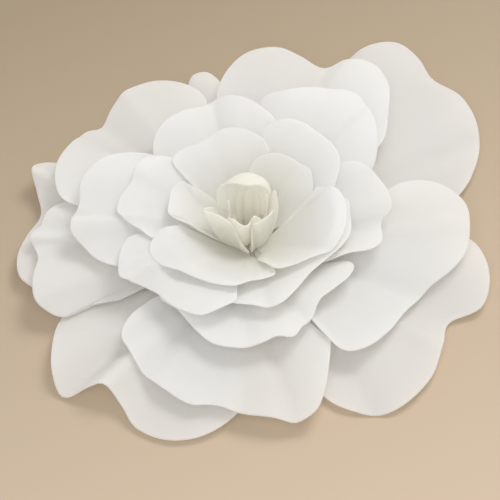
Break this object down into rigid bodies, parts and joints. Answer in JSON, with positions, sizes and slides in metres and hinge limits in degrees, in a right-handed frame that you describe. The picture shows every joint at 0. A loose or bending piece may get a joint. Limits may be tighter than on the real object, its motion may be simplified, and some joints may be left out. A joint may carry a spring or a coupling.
{
  "type": "giant paper flower",
  "caption": "Large white flower of cut and shaped soft sheet petals, ring upon ring round an upright bud, glued on a round backing disc. Lies or hangs flat as a decoration.",
  "frame": {"origin": "middle of the backing disc's flat underside, which the flower lies on", "axes": "+Z out of the bud, away from the disc; +X to the right and +Y to the back of the flower as it lies in the picture"},
  "size_m": [0.4946, 0.5118, 0.0948],
  "materials": {
    "petal_sheet": "soft matt white sheet, very fine even grain",
    "bud_sheet": "soft matt white sheet, a little creamier in the depth of the bud",
    "backing_card": "plain matt card"
  },
  "bodies": {
    "root": {"backing_disc": "backing_card", "bud_back": "bud_sheet", "bud_front_left": "bud_sheet", "bud_front_right": "bud_sheet", "bud_inner_front": "bud_sheet", "bud_inner_strip_far_left": "bud_sheet", "bud_inner_strip_far_right": "bud_sheet", "bud_inner_strip_left": "bud_sheet", "bud_inner_strip_middle": "bud_sheet", "bud_inner_strip_right": "bud_sheet", "bud_right": "bud_sheet", "fifth_back_right": "petal_sheet", "fifth_front_left": "petal_sheet", "fifth_left": "petal_sheet", "fifth_right": "petal_sheet", "fourth_back_left": "petal_sheet", "fourth_back_right": "petal_sheet", "fourth_front_left": "petal_sheet", "fourth_front_right": "petal_sheet", "fourth_left": "petal_sheet", "outer_back_left": "petal_sheet", "outer_back_right": "petal_sheet", "outer_front_left": "petal_sheet", "outer_front_right": "petal_sheet", "outer_left": "petal_sheet", "second_back": "petal_sheet", "second_back_left": "petal_sheet", "second_front": "petal_sheet", "second_left": "petal_sheet", "second_right": "petal_sheet", "third_back_left": "petal_sheet", "third_back_right": "petal_sheet", "third_front": "petal_sheet", "third_left": "petal_sheet", "third_right": "petal_sheet"}
  },
  "joints": []
}
